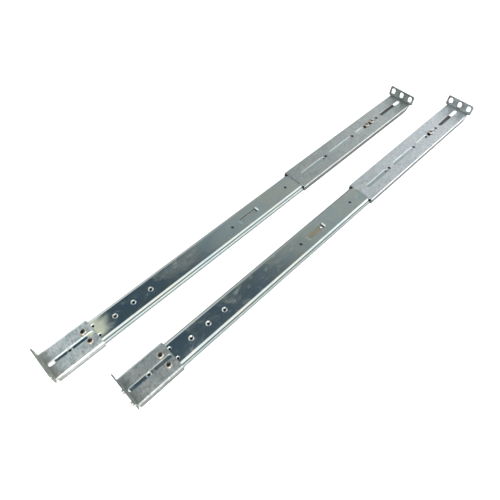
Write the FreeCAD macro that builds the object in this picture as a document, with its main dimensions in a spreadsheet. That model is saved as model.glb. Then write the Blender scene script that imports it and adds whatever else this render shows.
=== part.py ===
import FreeCAD, Part
import Sketcher
import math
import os
from FreeCAD import Placement, Rotation, Vector

# Sliding server rail pair: two three-section ball bearing slides that lie side by side,
# outer member uppermost, chassis member underneath. Millimetres, +Z up.
# +X runs along the rails from the front flanges to the rear flanges, so a slide opens towards -X.
# Each rail is drawn in its own frame: x = 0 at the inner face of the front flange, y = 0 on the
# centreline, z = 0 on the top of the outer member's web. left_x, left_y and lift place that frame.

doc = FreeCAD.newDocument("ServerRailPair")
sheet = doc.addObject("Spreadsheet::Sheet", "params")
sheet.Label = "params"

CELLS = [
    # placing of the two rails in the shared frame
    ("left_x", -349.4), ("left_y", 40.1), ("right_x", -305.0), ("right_y", -39.7), ("lift", 9.6),
    ("right_shift", 4.4),
    # outer member, rolled from 1.2 mm strip
    ("left_outer_front", 9.0), ("right_outer_front", 3.2), ("outer_end", 634.5), ("outer_wall", 1.2),
    ("shoulder_top", 12.554), ("shoulder_in", 12.255), ("knee_y", 15.42), ("knee_z", -1.525),
    ("knee_in_y", 14.603), ("knee_in_z", -2.449),
    ("race_y", 14.81), ("race_z", -5.6), ("race_outer", 2.84), ("race_radius", 1.64),
    ("line_groove", 0.42), ("web_bend", 1.5), ("web_bend_in", 0.6),
    # web holes of the outer member
    ("dimple_radius", 3.2), ("dimple_hole", 1.25), ("dimple_deep", 0.95), ("dimple_small_hole", 1.15),
    ("dimple_small_edge", 0.4), ("pair_wide", 2.3), ("pair_deep", 0.8),
    ("tap_hole", 2.05), ("tap_row", 7.2), ("plain_hole", 1.25),
    ("web_hole_a", 26.8), ("web_hole_b", 84.1), ("web_hole_c", 109.0), ("web_hole_d", 133.6),
    ("web_hole_e", 265.3), ("web_hole_f", 366.6), ("web_hole_g", 451.4), ("pair_hole_x", 59.6),
    ("window_near", 281.0), ("window_far", 309.0), ("window_half", 3.5),
    ("tab_height", 1.5), ("tab_thick", 1.0), ("tab_half", 3.1), ("tab_lean", 1.4), ("tab_root", -0.4),
    ("notch_near", 592.0), ("notch_half", 4.2),
    # brackets, folded from 1.5 mm sheet
    ("sheet", 1.5), ("bracket_half", 19.4), ("bracket_in", 17.9), ("bracket_low", -6.5),
    ("front_length", 57.9), ("front_bend", 2.8), ("front_bend_in", 1.3),
    ("front_slot_near", 1.9), ("front_slot_far", 56.4), ("front_slot_half", 2.4), ("front_slot_edge", 0.3),
    ("rear_flange_x", 650.0), ("rear_length", 263.3), ("rear_bend", 2.0), ("rear_bend_in", 0.6),
    ("slide_gap", 0.05), ("rear_slot_half", 2.75), ("rear_slot_edge", 0.25), ("bridge_hole", 1.5),
    ("wall_taper", 9.0), ("front_taper", 1.0), ("wall_taper_top", -0.4),
    ("flange_half", 20.4), ("front_flange_tail", 22.7), ("rear_flange_half", 22.3), ("flange_top", 18.0), ("flange_foot", 16.9), ("flange_rise", 3.2),
    ("flange_corner", 2.2), ("flange_fold", 0.6), ("flange_fold_out", 1.2),
    ("rack_pitch", 15.875), ("rack_hole_z", 10.6), ("rack_hole_half", 3.3), ("rack_hole_long", 4.8),
    ("insert_seat", 2.25), ("insert_shank", 2.2), ("insert_head", 2.5), ("insert_proud", 1.8),
    ("insert_thread", 1.65), ("plain_rack_hole", 2.95),
    # screws
    ("screw_x", 47.6), ("screw_shank", 1.95), ("screw_clear", 2.25), ("screw_head", 4.1),
    ("head_height", 2.2), ("head_round", 1.8), ("recess_half", 2.1), ("recess_arm", 0.55),
    ("recess_deep", 1.3), ("left_rear_screw", 557.5), ("right_rear_screw", 560.0), ("rear_screw_pitch", 12.7), ("shank_tip", -1.15),
    # middle member
    ("middle_front", 12.0), ("middle_length", 608.0), ("middle_half", 13.37), ("middle_in", 11.77),
    ("middle_top", -1.9), ("middle_under", -3.0), ("middle_low", -8.1), ("middle_bend", 2.8),
    ("middle_bend_in", 1.2), ("middle_hole", 3.0), ("middle_mark_x", 305.2), ("middle_mark_y", -0.6),
    ("middle_mark", 1.9), ("middle_mark_hole", 0.9), ("middle_mark_deep", 0.8),
    # inner ball row
    ("inner_race_y", 10.33),
    # inner member, the one that is screwed to the chassis
    ("inner_front", 9.5), ("inner_length", 598.5), ("inner_half", 8.89), ("inner_in", 7.7),
    ("inner_top", -3.8), ("inner_floor", -8.4), ("inner_under", -9.6), ("inner_bend", 1.8),
    ("inner_bend_in", 0.6), ("chassis_hole", 2.25),
    ("chassis_a", 68.0), ("chassis_b", 228.0), ("chassis_c", 388.0), ("chassis_d", 548.0),
    # balls and their retainers
    ("ball_radius", 1.5), ("pocket_radius", 1.66), ("ball_pitch", 24.0), ("cage_end", 8.0),
    ("left_cage_x", 166.0), ("right_cage_x", 190.0), ("inner_cage_x", 170.0), ("cage_length", 280.0),
    ("cage_low", -7.9),
    ("outer_cage_top", -1.35), ("outer_cage_under", -1.75), ("outer_cage_a", 12.063),
    ("outer_cage_b", 11.917), ("outer_cage_out", 15.01), ("outer_cage_in", 14.61),
    ("outer_cage_drop", -3.823), ("outer_cage_drop_in", -4.01),
    ("inner_cage_top", -3.15), ("inner_cage_under", -3.55), ("inner_cage_out", 10.53),
    ("inner_cage_in", 10.13), ("inner_cage_bend", 0.55),
    ("cage_window_half", 5.5),
    # bumpers
    ("bumper_near", 623.5), ("bumper_far", 633.6), ("bumper_half", 12.0), ("bumper_low", -8.3),
    ("tongue_near", 592.3), ("tongue_top", -0.35), ("tongue_under", -1.6),
    ("stop_near", 610.0), ("stop_far", 619.4), ("stop_half", 11.0), ("stop_low", -7.8),
    ("rivet_x", 614.7), ("rivet_shank", 1.25), ("rivet_hole", 1.3), ("rivet_head", 2.3),
    # release lever
    ("lever_pivot_x", 262.0), ("lever_half", 4.0), ("lever_tip_x", 333.0), ("lever_tip_half", 2.6),
    ("lever_under", -8.2), ("lever_top", -5.4), ("lever_hole", 1.58), ("pin_radius", 1.5),
    ("pin_hole", 1.53), ("pin_head", 2.7), ("pad_near", 288.0), ("pad_far", 310.0), ("pad_top", -4.2),
    ("lever_waist", 278.0), ("nose_x", 323.4), ("nose_top", -3.8), ("nose_out", 4.6),
    # stop tab in the mouth of the middle member
    ("tab_deep", 1.1), ("tab_near_y", 2.95), ("tab_far_y", 6.6), ("tab_low", -5.1),
]

VALUE = {}
row = 1
for alias, number in CELLS:
    cell = "A%d" % row
    sheet.set(cell, alias)
    sheet.set("B%d" % row, repr(float(number)))
    sheet.setAlias("B%d" % row, alias)
    VALUE[alias] = float(number)
    row += 1
doc.recompute()


def term(token):
    """One term of a size: an alias, a number, or alias*number. Returns its value and its expression."""
    factor = 1.0
    tail = ""
    name = token
    if "*" in token:
        name, k = token.split("*")
        factor = float(k)
        tail = " * " + k
    sign = 1.0
    lead = ""
    if name.startswith("-"):
        name, sign, lead = name[1:], -1.0, "-"
    if name in VALUE:
        return sign * VALUE[name] * factor, lead + "params." + name + tail
    return sign * float(name) * factor, lead + name + tail


def size(text):
    """A size written as terms joined by + and -: its number, and the same thing as an expression."""
    tokens = str(text).split()
    number, words = term(tokens[0])
    i = 1
    while i < len(tokens):
        n, w = term(tokens[i + 1])
        if tokens[i] == "+":
            number += n
        else:
            number -= n
        words += " " + tokens[i] + " " + w
        i += 2
    return number, words


def val(text):
    return size(text)[0]


def minus(text):
    """The same size with its sign turned round."""
    out = []
    tokens = str(text).split()
    out.append(tokens[0][1:] if tokens[0].startswith("-") else "-" + tokens[0])
    i = 1
    while i < len(tokens):
        out.append("-" if tokens[i] == "+" else "+")
        out.append(tokens[i + 1])
        i += 2
    return " ".join(out)


def bind(obj, prop, text):
    if "params." in size(text)[1]:
        obj.setExpression(prop, size(text)[1])


def new_body(label):
    body = doc.addObject("PartDesign::Body", label)
    body.Label = label
    body.AllowCompound = True
    return body


def plane(body, role):
    for feature in body.Origin.OriginFeatures:
        if feature.Role == role:
            return feature
    raise ValueError(role)


def new_sketch(body, role, name, offset="0"):
    """A sketch on one of the body's own origin planes, moved along the plane's normal."""
    sk = body.newObject("Sketcher::SketchObject", body.Label + "_" + name)
    sk.AttachmentSupport = [(plane(body, role), "")]
    sk.MapMode = "FlatFace"
    sk.AttachmentOffset = Placement(Vector(0, 0, val(offset)), Rotation())
    bind(sk, "AttachmentOffset.Base.z", offset)
    return sk


def pin_point(sk, geo, pos, u, w):
    """Tie a sketch point to the sheet: its two distances from the sketch's origin."""
    for kind, text, axis in (("DistanceX", u, -2), ("DistanceY", w, -1)):
        number = val(text)
        if abs(number) < 1e-9:
            sk.addConstraint(Sketcher.Constraint("PointOnObject", geo, pos, axis))
        else:
            c = sk.addConstraint(Sketcher.Constraint(kind, -1, 1, geo, pos, number))
            bind(sk, "Constraints[%d]" % c, text)


def radius(sk, geo, text):
    c = sk.addConstraint(Sketcher.Constraint("Radius", geo, val(text)))
    bind(sk, "Constraints[%d]" % c, text)


def polygon(sk, points):
    first = sk.GeometryCount
    n = len(points)
    for i in range(n):
        a, b = points[i], points[(i + 1) % n]
        sk.addGeometry(Part.LineSegment(Vector(val(a[0]), val(a[1]), 0), Vector(val(b[0]), val(b[1]), 0)))
    for i in range(n):
        sk.addConstraint(Sketcher.Constraint("Coincident", first + i, 2, first + (i + 1) % n, 1))
    for i in range(n):
        pin_point(sk, first + i, 1, points[i][0], points[i][1])


def mirrored(points):
    """A closed outline from its right half, listed from the top centre outwards and back."""
    left = [(minus(u), w) for u, w in reversed(points)]
    return list(points) + left


def circle(sk, u, w, r):
    geo = sk.addGeometry(Part.Circle(Vector(val(u), val(w), 0), Vector(0, 0, 1), val(r)))
    radius(sk, geo, r)
    pin_point(sk, geo, 3, u, w)


def slot(sk, a, b, half, along="u"):
    """A round-ended slot from arc centre a to arc centre b (b beyond a along the given direction)."""
    ua, wa, ub, wb, r = val(a[0]), val(a[1]), val(b[0]), val(b[1]), val(half)
    turn = 0.0 if along == "u" else math.pi / 2
    g0 = sk.addGeometry(Part.ArcOfCircle(Part.Circle(Vector(ua, wa, 0), Vector(0, 0, 1), r),
                                         turn + math.pi / 2, turn + 1.5 * math.pi))
    g1 = sk.addGeometry(Part.ArcOfCircle(Part.Circle(Vector(ub, wb, 0), Vector(0, 0, 1), r),
                                         turn - math.pi / 2, turn + math.pi / 2))
    side = Vector(math.cos(turn - math.pi / 2) * r, math.sin(turn - math.pi / 2) * r, 0)
    g2 = sk.addGeometry(Part.LineSegment(Vector(ua, wa, 0) + side, Vector(ub, wb, 0) + side))
    g3 = sk.addGeometry(Part.LineSegment(Vector(ub, wb, 0) - side, Vector(ua, wa, 0) - side))
    sk.addConstraint(Sketcher.Constraint("Tangent", g0, 2, g2, 1))
    sk.addConstraint(Sketcher.Constraint("Tangent", g2, 2, g1, 1))
    sk.addConstraint(Sketcher.Constraint("Tangent", g1, 2, g3, 1))
    sk.addConstraint(Sketcher.Constraint("Tangent", g3, 2, g0, 1))
    radius(sk, g0, half)
    radius(sk, g1, half)
    pin_point(sk, g0, 3, a[0], a[1])
    pin_point(sk, g1, 3, b[0], b[1])


def pad(body, sk, length, reverse=False):
    feature = body.newObject("PartDesign::Pad", sk.Label + "_pad")
    feature.Profile = sk
    feature.Length = val(length)
    bind(feature, "Length", length)
    feature.Reversed = reverse
    doc.recompute()
    return feature


def cut_through(body, sk):
    """A pocket through everything on both sides of its sketch. It must remove something."""
    before = body.Shape.Volume
    feature = body.newObject("PartDesign::Pocket", sk.Label + "_cut")
    feature.Profile = sk
    feature.Type = 1
    feature.Midplane = True
    doc.recompute()
    if feature.Shape.Volume > before - 1e-6:
        raise RuntimeError("%s removes nothing" % sk.Label)
    return feature


def cut_depth(body, sk, depth, reverse=False):
    before = body.Shape.Volume
    feature = body.newObject("PartDesign::Pocket", sk.Label + "_cut")
    feature.Profile = sk
    feature.Length = val(depth)
    bind(feature, "Length", depth)
    feature.Reversed = reverse
    doc.recompute()
    if feature.Shape.Volume > before - 1e-6:
        raise RuntimeError("%s removes nothing" % sk.Label)
    return feature


def pick(shape, test):
    names = ["Edge%d" % (i + 1) for i, e in enumerate(shape.Edges) if test(e)]
    if not names:
        raise RuntimeError("no edge found")
    return names


def dress(body, kind, base, test, amount, name):
    """A fillet or a chamfer on the edges that pass the test."""
    feature = body.newObject("PartDesign::" + kind, body.Label + "_" + name)
    feature.Base = (base, pick(base.Shape, test))
    prop = "Radius" if kind == "Fillet" else "Size"
    setattr(feature, prop, val(amount))
    bind(feature, prop, amount)
    doc.recompute()
    return feature


def along_x(y, z, shortest=5.0):
    """Test for a straight edge that runs along X at this height, on either side of the centreline."""
    yy, zz = val(y), val(z)

    def test(e):
        c = e.CenterOfMass
        d = e.Vertexes[-1].Point - e.Vertexes[0].Point
        return (e.Length > shortest and abs(abs(d.x) - e.Length) < 1e-4
                and abs(abs(c.y) - yy) < 1e-3 and abs(c.z - zz) < 1e-3)
    return test


def round_edge(z, r):
    zz, rr = val(z), val(r)

    def test(e):
        return (hasattr(e.Curve, "Radius") and abs(e.Curve.Radius - rr) < 1e-3
                and abs(e.CenterOfMass.z - zz) < 1e-3)
    return test


def slot_rim(z, half):
    """Test for the edges of a slot along X at this height: its two arcs and its two straight sides."""
    zz, hh = val(z), val(half)

    def test(e):
        c = e.CenterOfMass
        if abs(c.z - zz) > 1e-3:
            return False
        if hasattr(e.Curve, "Radius"):
            return abs(e.Curve.Radius - hh) < 1e-3 and e.Length < 3.3 * hh
        return e.Length > 5 and abs(abs(c.y) - hh) < 1e-3
    return test


def cone(body, name, z, spots, wide, narrow, deep):
    """Conical recesses cut down from height z, from radius wide to radius narrow."""
    sk = new_sketch(body, "XY_Plane", name, z)
    for x, y in spots:
        circle(sk, x, y, wide)
    before = body.Shape.Volume
    feature = body.newObject("PartDesign::Pocket", name + "_cut")
    feature.Profile = sk
    feature.Length = val(deep)
    bind(feature, "Length", deep)
    feature.TaperAngle = -math.degrees(math.atan((val(wide) - val(narrow)) / val(deep)))
    feature.setExpression("TaperAngle", "-atan((params.%s - params.%s) / params.%s)" % (wide, narrow, deep))
    doc.recompute()
    if feature.Shape.Volume > before - 1e-6:
        raise RuntimeError("%s removes nothing" % name)
    return feature


PARTS = []


def place(obj, side):
    """Move a finished sub-part from the rail's own frame to the shared frame."""
    obj.Placement = Placement(Vector(val(side + "_x"), val(side + "_y"), val("lift")), Rotation())
    obj.setExpression("Placement.Base.x", "params.%s_x" % side)
    obj.setExpression("Placement.Base.y", "params.%s_y" % side)
    obj.setExpression("Placement.Base.z", "params.lift")
    PARTS.append(obj)


# ---------------------------------------------------------------------------------------------
# Outer member: flat web, sloping shoulders, and a rolled raceway along each edge that wraps the
# outer balls. Dimpled holes, a window with two turned-up tabs, and a notch at the rear end.
COS50, SIN50 = math.cos(math.radians(50)), math.sin(math.radians(50))
LIP = math.radians(-60)


def outer_member(side):
    body = new_body(side + "_outer_member")
    front = side + "_outer_front"
    sk = new_sketch(body, "YZ_Plane", "section", front)
    cy, cz, ro, ri, t = val("race_y"), val("race_z"), val("race_outer"), val("race_radius"), val("outer_wall")
    st, si = val("shoulder_top"), val("shoulder_in")

    def at(s, r, a):
        return Vector(s * (cy + r * math.cos(a)), cz + r * math.sin(a), 0)

    start = math.radians(35)
    ky, kz, hy, hz = val("knee_y"), val("knee_z"), val("knee_in_y"), val("knee_in_z")
    ends = []
    web = sk.addGeometry(Part.LineSegment(Vector(-st, 0, 0), Vector(st, 0, 0)))
    floor = sk.addGeometry(Part.LineSegment(Vector(si, -t, 0), Vector(-si, -t, 0)))
    for s in (1, -1):
        if s == 1:
            span = (LIP, start)
        else:
            span = (math.pi - start, math.pi - LIP)
        slope = sk.addGeometry(Part.LineSegment(Vector(s * st, 0, 0), Vector(s * ky, kz, 0)))
        steep = sk.addGeometry(Part.LineSegment(Vector(s * ky, kz, 0), at(s, ro, start)))
        big = sk.addGeometry(Part.ArcOfCircle(Part.Circle(Vector(s * cy, cz, 0), Vector(0, 0, 1), ro), *span))
        lip = sk.addGeometry(Part.LineSegment(at(s, ro, LIP), at(s, ri, LIP)))
        small = sk.addGeometry(Part.ArcOfCircle(Part.Circle(Vector(s * cy, cz, 0), Vector(0, 0, 1), ri), *span))
        rise = sk.addGeometry(Part.LineSegment(at(s, ri, start), Vector(s * hy, hz, 0)))
        back = sk.addGeometry(Part.LineSegment(Vector(s * hy, hz, 0), Vector(s * si, -t, 0)))
        top_pos, low_pos = (2, 1) if s == 1 else (1, 2)
        sk.addConstraint(Sketcher.Constraint("Coincident", web, 2 if s == 1 else 1, slope, 1))
        sk.addConstraint(Sketcher.Constraint("Coincident", slope, 2, steep, 1))
        sk.addConstraint(Sketcher.Constraint("Coincident", steep, 2, big, top_pos))
        sk.addConstraint(Sketcher.Constraint("Coincident", big, low_pos, lip, 1))
        sk.addConstraint(Sketcher.Constraint("Coincident", lip, 2, small, low_pos))
        sk.addConstraint(Sketcher.Constraint("Coincident", small, top_pos, rise, 1))
        sk.addConstraint(Sketcher.Constraint("Coincident", rise, 2, back, 1))
        sk.addConstraint(Sketcher.Constraint("Coincident", back, 2, floor, 1 if s == 1 else 2))
        radius(sk, big, "race_outer")
        radius(sk, small, "race_radius")
        yy = "race_y" if s == 1 else "-race_y"
        pin_point(sk, big, 3, yy, "race_z")
        pin_point(sk, small, 3, yy, "race_z")
        ends.append((slope, rise, s))
    for slope, rise, s in ends:
        lead = "" if s == 1 else "-"
        pin_point(sk, slope, 1, lead + "shoulder_top", "0")
        pin_point(sk, slope, 2, lead + "knee_y", "knee_z")
        pin_point(sk, rise, 2, lead + "knee_in_y", "knee_in_z")
    pin_point(sk, floor, 1, "shoulder_in", "-outer_wall")
    pin_point(sk, floor, 2, "-shoulder_in", "-outer_wall")
    solid = pad(body, sk, "outer_end - " + front)
    tip = dress(body, "Fillet", solid, along_x("shoulder_top", "0", 50), "web_bend", "web_bends")
    tip = dress(body, "Fillet", tip, along_x("shoulder_in", "-outer_wall", 50), "web_bend_in", "web_bends_in")
    # a fine line rolled along each shoulder
    sk = new_sketch(body, "YZ_Plane", "lines", front)
    circle(sk, "knee_y", "knee_z", "line_groove")
    circle(sk, "-knee_y", "knee_z", "line_groove")
    cut_through(body, sk)
    # tabs turned up at the two ends of the window
    sk = new_sketch(body, "XZ_Plane", "tabs", "0")
    polygon(sk, [("window_near", "tab_root"), ("window_near - tab_lean", "tab_height"),
                 ("window_near - tab_lean - tab_thick", "tab_height"), ("window_near - tab_thick", "tab_root")])
    polygon(sk, [("window_far", "tab_root"), ("window_far + tab_thick", "tab_root"),
                 ("window_far + tab_lean + tab_thick", "tab_height"), ("window_far + tab_lean", "tab_height")])
    tabs = pad(body, sk, "tab_half*2")
    tabs.Midplane = True
    doc.recompute()
    # holes, window and notch
    sk = new_sketch(body, "XY_Plane", "holes", "0")
    for x in ("web_hole_a", "web_hole_b", "web_hole_c", "web_hole_d"):
        circle(sk, x, "0", "dimple_hole")
    for x in ("web_hole_e", "web_hole_f"):
        circle(sk, x, "0", "dimple_small_hole")
    circle(sk, "web_hole_g", "0", "plain_hole")
    for y in ("tap_row", "-tap_row"):
        circle(sk, "pair_hole_x", y, "dimple_hole")
        circle(sk, "screw_x", y, "tap_hole")
    circle(sk, side + "_rear_screw", "0", "tap_hole")
    circle(sk, side + "_rear_screw + rear_screw_pitch", "0", "tap_hole")
    face = "rear_flange_x" + ("" if side == "left" else " + right_shift")
    for b in (66.8, 130.2, 194.7):
        circle(sk, face + " - %s" % b, "0", "bridge_hole")
    polygon(sk, [("window_near", "window_half"), ("window_near", "-window_half"),
                 ("window_far", "-window_half"), ("window_far", "window_half")])
    polygon(sk, [("notch_near", "notch_half"), ("notch_near", "-notch_half"),
                 ("outer_end + 2", "-notch_half"), ("outer_end + 2", "notch_half")])
    cut_through(body, sk)
    # conical dimples
    dress(body, "Chamfer", body.Tip, round_edge("0", "dimple_small_hole"), "dimple_small_edge", "small_dimples")
    cone(body, "dimples", "0", [("web_hole_a", "0"), ("web_hole_b", "0"), ("web_hole_c", "0"), ("web_hole_d", "0")],
         "dimple_radius", "dimple_hole", "dimple_deep")
    cone(body, "pair_dimples", "0", [("pair_hole_x", "tap_row"), ("pair_hole_x", "-tap_row")],
         "pair_wide", "dimple_hole", "pair_deep")
    place(body, side)
    return body


# ---------------------------------------------------------------------------------------------
# Brackets: a channel over the outer member with an upright flange for the rack post.
def channel(body, near, length, low, top, bend, bend_in):
    sk = new_sketch(body, "YZ_Plane", "section", near)
    under = top + " - sheet"
    polygon(sk, mirrored([("bracket_half", top), ("bracket_half", low), ("bracket_in", low), ("bracket_in", under)]))
    solid = pad(body, sk, length)
    tip = dress(body, "Fillet", solid, along_x("bracket_half", top, 20), bend, "bends")
    return dress(body, "Fillet", tip, along_x("bracket_in", under, 20), bend_in, "bends_in")


def flange(body, face, outwards, foot, reach, tail):
    """The upright flange: 1.5 mm thick, lower corners cut back, from +reach to -tail across the rail."""
    sk = new_sketch(body, "YZ_Plane", "flange", face)
    polygon(sk, [(reach, "flange_top"), (reach, foot + " + flange_rise"), ("flange_foot", foot),
                 ("-flange_foot", foot), ("-" + tail, foot + " + flange_rise"), ("-" + tail, "flange_top")])
    solid = pad(body, sk, "sheet", reverse=(outwards < 0))
    tip = dress(body, "Fillet", solid, flange_corner_test, "flange_corner", "corners")
    x_in = val(face)
    x_out = x_in + outwards * val("sheet")
    top = val(foot + " + sheet")

    def fold_in(e):
        c = e.CenterOfMass
        return e.Length > 20 and abs(c.x - x_in) < 1e-3 and abs(c.z - top) < 1e-3

    def fold_out(e):
        c = e.CenterOfMass
        return e.Length > 20 and abs(c.x - x_out) < 1e-3 and abs(c.z - val(foot)) < 1e-3
    tip = dress(body, "Fillet", tip, fold_in, "flange_fold", "fold")
    return dress(body, "Fillet", tip, fold_out, "flange_fold_out", "fold_out")


def flange_corner_test(e):
    c = e.CenterOfMass
    return abs(e.Length - val("sheet")) < 1e-3 and abs(c.y) > 20 and abs(c.z - val("flange_top")) < 1e-3


def taper(body, points):
    """Cut both side walls back at a slant next to the flange. The XZ plane's sketch has x and z."""
    sk = new_sketch(body, "XZ_Plane", "wall_ends", "0")
    polygon(sk, points)
    cut_through(body, sk)


def front_bracket(side):
    body = new_body(side + "_front_bracket")
    channel(body, "0", "front_length", "bracket_low", "sheet", "front_bend", "front_bend_in")
    flange(body, "0", -1, "0", "flange_half", "front_flange_tail")
    taper(body, [("-4", "wall_taper_top"), ("1.2", "wall_taper_top"), ("front_taper + 1.3", "bracket_low - 1"),
                 ("front_taper + 1.3", "bracket_low - 3"), ("-4", "bracket_low - 3")])
    sk = new_sketch(body, "YZ_Plane", "rack_holes", "0")
    slot(sk, ("rack_pitch", "rack_hole_z + rack_hole_half - rack_hole_long"),
         ("rack_pitch", "rack_hole_z + rack_hole_long - rack_hole_half"), "rack_hole_half", "w")
    hole = "plain_rack_hole" if side == "left" else "insert_seat"
    circle(sk, "0", "rack_hole_z", hole)
    circle(sk, "-rack_pitch", "rack_hole_z", hole)
    cut_depth(body, sk, "sheet + 1")
    sk = new_sketch(body, "XY_Plane", "plate_holes", "0")
    slot(sk, ("front_slot_near + front_slot_half", "0"), ("front_slot_far - front_slot_half", "0"), "front_slot_half")
    circle(sk, "screw_x", "tap_row", "screw_clear")
    circle(sk, "screw_x", "-tap_row", "screw_clear")
    tip = cut_through(body, sk)
    dress(body, "Chamfer", tip, slot_rim("sheet", "front_slot_half"), "front_slot_edge", "slot_rim")
    place(body, side)
    return body


def rear_bracket(side):
    """The long adjustable bracket. shift is how far it is drawn out beyond the left one."""
    body = new_body(side + "_rear_bracket")
    shift = "0" if side == "left" else "right_shift"
    face = "rear_flange_x + " + shift
    near = face + " - rear_length"
    top = "sheet + slide_gap"
    channel(body, near, "rear_length", "bracket_low", top, "rear_bend", "rear_bend_in")
    flange(body, face, 1, "slide_gap", "rear_flange_half", "rear_flange_half")
    taper(body, [(face + " + 4", "wall_taper_top"), (face + " - 1.2", "wall_taper_top"),
                 (face + " - wall_taper - 1.3", "bracket_low - 1"), (face + " - wall_taper - 1.3", "bracket_low - 3"),
                 (face + " + 4", "bracket_low - 3")])
    sk = new_sketch(body, "YZ_Plane", "rack_holes", face)
    for y in ("rack_pitch", "0", "-rack_pitch"):
        slot(sk, (y, "rack_hole_z + rack_hole_half - rack_hole_long"),
             (y, "rack_hole_z + rack_hole_long - rack_hole_half"), "rack_hole_half", "w")
    cut_depth(body, sk, "sheet + 1", reverse=True)
    sk = new_sketch(body, "XY_Plane", "plate_holes", "0")
    for a, b in ((56.0, 2.6), (120.0, 71.0), (184.0, 134.0), (248.0, 198.5)):
        slot(sk, (face + " - %s + rear_slot_half" % a, "0"), (face + " - %s - rear_slot_half" % b, "0"),
             "rear_slot_half")
    for b in (66.8, 130.2, 194.7):
        circle(sk, face + " - %s" % b, "0", "bridge_hole")
    tip = cut_through(body, sk)
    dress(body, "Chamfer", tip, slot_rim(top, "rear_slot_half"), "rear_slot_edge", "slot_rims")
    place(body, side)
    return body


# ---------------------------------------------------------------------------------------------
# Fasteners
def screws(side, label, spots, seat):
    """Domed cross-recess screws, all in one body as separate solids. spots are (x, y) centres."""
    body = new_body(side + label)
    sk = new_sketch(body, "XY_Plane", "shanks", "shank_tip")
    for x, y in spots:
        circle(sk, x, y, "screw_shank")
    pad(body, sk, seat + " - shank_tip")
    sk = new_sketch(body, "XY_Plane", "heads", seat)
    for x, y in spots:
        circle(sk, x, y, "screw_head")
    head = pad(body, sk, "head_height")
    dress(body, "Fillet", head, round_edge(seat + " + head_height", "screw_head"), "head_round", "domes")
    sk = new_sketch(body, "XY_Plane", "recess_a", seat + " + head_height")
    for x, y in spots:
        polygon(sk, [(x + " - recess_half", y + " - recess_arm"), (x + " + recess_half", y + " - recess_arm"),
                     (x + " + recess_half", y + " + recess_arm"), (x + " - recess_half", y + " + recess_arm")])
    cut_depth(body, sk, "recess_deep")
    sk = new_sketch(body, "XY_Plane", "recess_b", seat + " + head_height")
    for x, y in spots:
        polygon(sk, [(x + " - recess_arm", y + " - recess_half"), (x + " + recess_arm", y + " - recess_half"),
                     (x + " + recess_arm", y + " + recess_half"), (x + " - recess_arm", y + " + recess_half")])
    cut_depth(body, sk, "recess_deep")
    place(body, side)
    return body


def rack_inserts(side):
    """Threaded inserts pressed into the front flange. Their heads locate in the rack post's holes."""
    body = new_body(side + "_rack_inserts")
    spots = ("0", "-rack_pitch")
    sk = new_sketch(body, "YZ_Plane", "shanks", "-sheet")
    for y in spots:
        circle(sk, y, "rack_hole_z", "insert_shank")
    pad(body, sk, "sheet")
    sk = new_sketch(body, "YZ_Plane", "heads", "-sheet")
    for y in spots:
        circle(sk, y, "rack_hole_z", "insert_head")
    head = pad(body, sk, "insert_proud", reverse=True)

    def rim(e):
        return (hasattr(e.Curve, "Radius") and abs(e.Curve.Radius - val("insert_head")) < 1e-3
                and abs(e.CenterOfMass.x + val("sheet + insert_proud")) < 1e-3)
    dress(body, "Chamfer", head, rim, "0.35", "rims")
    sk = new_sketch(body, "YZ_Plane", "threads", "0")
    for y in spots:
        circle(sk, y, "rack_hole_z", "insert_thread")
    cut_through(body, sk)
    place(body, side)
    return body


# ---------------------------------------------------------------------------------------------
# Middle member: a channel with ball grooves along both faces of each arm.
def middle_member(side):
    body = new_body(side + "_middle_member")
    sk = new_sketch(body, "YZ_Plane", "section", "middle_front")
    polygon(sk, mirrored([("middle_half", "middle_top"), ("middle_half", "middle_low"),
                          ("middle_in", "middle_low"), ("middle_in", "middle_under")]))
    solid = pad(body, sk, "middle_length")
    tip = dress(body, "Fillet", solid, along_x("middle_half", "middle_top", 50), "middle_bend", "bends")
    dress(body, "Fillet", tip, along_x("middle_in", "middle_under", 50), "middle_bend_in", "bends_in")
    sk = new_sketch(body, "YZ_Plane", "grooves", "middle_front")
    for y in ("race_y", "-race_y", "inner_race_y", "-inner_race_y"):
        circle(sk, y, "race_z", "race_radius")
    cut_through(body, sk)
    sk = new_sketch(body, "XY_Plane", "holes", "0")
    for x in ("60", "160", "470", "560"):
        circle(sk, x, "0", "middle_hole")
    circle(sk, "rivet_x", "0", "rivet_hole")
    cut_through(body, sk)
    # stop tab, turned down from the web at the mouth
    sk = new_sketch(body, "YZ_Plane", "stop_tab", "middle_front")
    tab = [("tab_near_y", "middle_under + 0.4"), ("tab_far_y", "middle_under + 0.4"),
           ("tab_far_y", "tab_low"), ("tab_near_y", "tab_low")]
    polygon(sk, tab if side == "left" else [(minus(u), w) for u, w in tab])
    pad(body, sk, "tab_deep")
    if side == "right":
        sk = new_sketch(body, "XY_Plane", "mark_hole", "0")
        circle(sk, "middle_mark_x", "middle_mark_y", "middle_mark_hole")
        cut_through(body, sk)
        cone(body, "mark", "middle_top", [("middle_mark_x", "middle_mark_y")], "middle_mark", "middle_mark_hole",
             "middle_mark_deep")
    place(body, side)
    return body


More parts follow.
